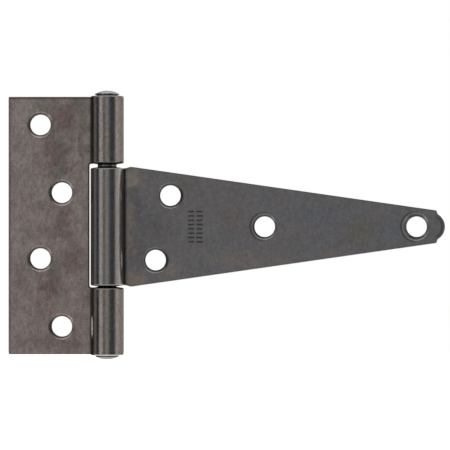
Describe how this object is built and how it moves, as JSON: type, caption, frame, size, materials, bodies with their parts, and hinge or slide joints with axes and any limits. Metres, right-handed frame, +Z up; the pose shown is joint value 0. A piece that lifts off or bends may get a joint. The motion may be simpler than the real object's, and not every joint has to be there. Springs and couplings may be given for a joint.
{
  "type": "t hinge",
  "caption": "Heavy T hinge: a rectangular pad leaf and a long tapered strap leaf turn on one peened pin, for hanging gates and shed doors.",
  "frame": {"origin": "on the pin's axis, halfway up the pad leaf", "axes": "+Z up the pin; +X along the strap towards its tip; -Y out of the front, the side with the barrel and the countersinks; the leaves' backs face +Y"},
  "size_m": [0.1972, 0.0148, 0.1209],
  "materials": {
    "pad_steel": "dull mill finish, warm grey",
    "strap_steel": "dull mill finish, cool grey",
    "pin_steel": "drawn bar, semi-bright, with hammered ends"
  },
  "bodies": {
    "pad": {"pad_leaf": "pad_steel", "pin": "pin_steel"},
    "strap": {"strap_leaf": "strap_steel"}
  },
  "joints": [
    {"name": "strap_swing", "type": "hinge", "parent": "pad", "child": "strap", "pos_m": [0, 0, 0], "axis": [0, 0, -1], "range_deg": [-95, 180]}
  ]
}
